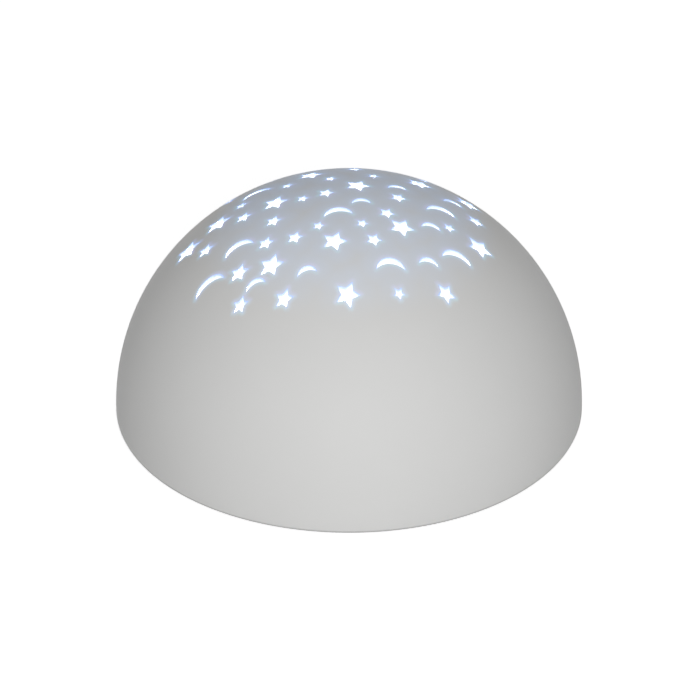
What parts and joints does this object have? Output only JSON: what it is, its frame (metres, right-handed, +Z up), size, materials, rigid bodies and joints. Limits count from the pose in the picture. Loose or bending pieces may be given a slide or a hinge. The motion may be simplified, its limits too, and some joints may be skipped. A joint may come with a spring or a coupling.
{
  "type": "star night light projector",
  "caption": "Half-ball night light that projects stars and crescents through openings in its white dome, on a battery base with a slide switch.",
  "frame": {"origin": "on the floor plane under the middle of the dome, the centre of the feet's lower faces", "axes": "+Z up through the dome's crown, -Y to the front that the picture shows, +X to the right"},
  "size_m": [0.165, 0.165, 0.086],
  "materials": {
    "dome_plastic": "satin white moulding",
    "base_plastic": "satin white moulding",
    "foot_rubber": "matt",
    "cell_jacket": "satin printed jacket, no words",
    "contact_nickel": "nickel plated spring steel",
    "screw_steel": "zinc plated",
    "insert_brass": "turned",
    "board_green": "solder mask",
    "led_lens": "clear, lit",
    "chip_black": "matt moulding",
    "resistor_ceramic": "glazed",
    "capacitor_can": "drawn can",
    "bracket_steel": "stamped, plated",
    "switch_plastic": "satin black",
    "wire_red": "insulation",
    "wire_black": "insulation"
  },
  "bodies": {
    "lamp": {"base_plate": "base_plastic", "base_screws": "screw_steel", "battery_cell_1": "cell_jacket", "battery_cell_2": "cell_jacket", "battery_cell_3": "cell_jacket", "battery_lead_black": "wire_black", "battery_lead_red": "wire_red", "board_capacitor": "capacitor_can", "board_resistors": "resistor_ceramic", "board_screws": "screw_steel", "contact_link_front": "contact_nickel", "contact_link_rear": "contact_nickel", "contact_plate_positive": "contact_nickel", "contact_spring_negative": "contact_nickel", "dome_shell": "dome_plastic", "door_screw_insert": "insert_brass", "driver_chip": "chip_black", "lamp_board": "board_green", "projector_led": "led_lens", "rubber_foot_1": "foot_rubber", "rubber_foot_2": "foot_rubber", "rubber_foot_3": "foot_rubber", "rubber_foot_4": "foot_rubber", "switch_bracket": "bracket_steel", "switch_housing": "switch_plastic", "switch_lead_red": "wire_red", "switch_screws": "screw_steel", "switch_terminals": "contact_nickel"},
    "switch_slider": {"switch_actuator": "switch_plastic", "switch_knob": "switch_plastic"},
    "battery_door": {"battery_door": "base_plastic"},
    "battery_door_screw": {"battery_door_screw": "screw_steel"}
  },
  "joints": [
    {"name": "switch_slide", "type": "slide", "parent": "lamp", "child": "switch_slider", "axis": [0, -1, 0], "range_m": [0, 0.004]},
    {"name": "battery_door_hinge", "type": "hinge", "parent": "lamp", "child": "battery_door", "pos_m": [0, 0.031, 0.002], "axis": [1, 0, 0], "range_deg": [0, 55]},
    {"name": "door_screw_turn", "type": "hinge", "parent": "battery_door", "child": "battery_door_screw", "pos_m": [0, -0.035, 0.0044], "axis": [0, 0, 1], "continuous": true}
  ]
}
